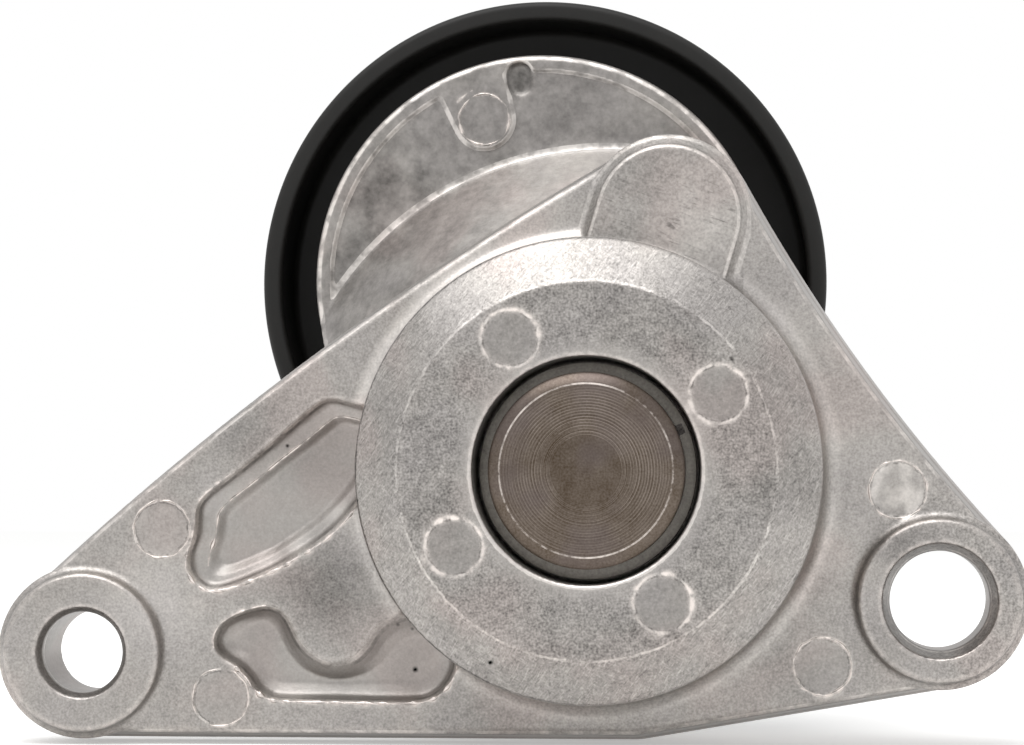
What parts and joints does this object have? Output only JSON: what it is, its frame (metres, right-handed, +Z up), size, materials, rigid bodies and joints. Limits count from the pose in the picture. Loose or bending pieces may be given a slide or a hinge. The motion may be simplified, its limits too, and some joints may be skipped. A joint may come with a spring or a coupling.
{
  "type": "belt tensioner pulley",
  "caption": "Drive belt tensioner: die-cast triangular bracket with two bolt ears and a round hub, sprung pivoting arm and black idler pulley.",
  "frame": {"origin": "on the arm's pivot axis, in the plane of the two bolt bosses' rear faces, which meet the engine", "axes": "+X across the two bolt ears and +Z up as seen from the engine side; +Y along the pivot, away from the engine towards the pulley"},
  "size_m": [0.1194, 0.0745, 0.09],
  "materials": {
    "cast_aluminium": "as die-cast, light grey, with a fine mottled skin",
    "arm_cast_aluminium": "as die-cast, mid grey",
    "turned_steel": "face-turned, fine rings",
    "dark_steel": "oiled, dark",
    "bearing_steel": "ground",
    "spring_steel": "oil-tempered, dark",
    "bush_bronze": "sintered",
    "zinc_plate": "zinc plated",
    "friction_nylon": "natural nylon",
    "black_nylon": "moulded, glass filled",
    "seal_rubber": "matt"
  },
  "bodies": {
    "bracket": {"mounting_bracket": "cast_aluminium", "pivot_bush": "bush_bronze", "rear_washer": "dark_steel", "thrust_washer": "zinc_plate", "friction_ring": "friction_nylon", "torsion_spring": "spring_steel"},
    "arm": {"tensioner_arm": "arm_cast_aluminium", "pivot_shaft": "turned_steel", "bearing_inner_ring": "bearing_steel", "pulley_bolt": "zinc_plate", "clamp_washer": "zinc_plate", "rear_dust_shield": "zinc_plate"},
    "pulley": {"pulley": "black_nylon", "bearing_outer_ring": "bearing_steel", "bearing_seal_rear": "seal_rubber", "bearing_seal_front": "seal_rubber", "dust_cap": "black_nylon"},
    "ball_cage": {"bearing_cage": "zinc_plate", "ball_1": "bearing_steel", "ball_2": "bearing_steel", "ball_3": "bearing_steel", "ball_4": "bearing_steel", "ball_5": "bearing_steel", "ball_6": "bearing_steel", "ball_7": "bearing_steel", "ball_8": "bearing_steel"}
  },
  "joints": [
    {"name": "arm_pivot", "type": "hinge", "parent": "bracket", "child": "arm", "pos_m": [0, 0, 0], "axis": [0, 1, 0], "range_deg": [0, 28], "stiffness_Nm_per_rad": 12, "springref_deg": -28.65, "deforming": ["torsion_spring"]},
    {"name": "pulley_spin", "type": "hinge", "parent": "arm", "child": "pulley", "pos_m": [-0.00802, 0, 0.02368], "axis": [0, 1, 0], "continuous": true},
    {"name": "cage_spin", "type": "hinge", "parent": "arm", "child": "ball_cage", "pos_m": [-0.00802, 0, 0.02368], "axis": [0, 1, 0], "continuous": true}
  ],
  "couplings": [
    {"joint": "cage_spin", "follows": "pulley_spin", "ratio": 0.6184}
  ]
}
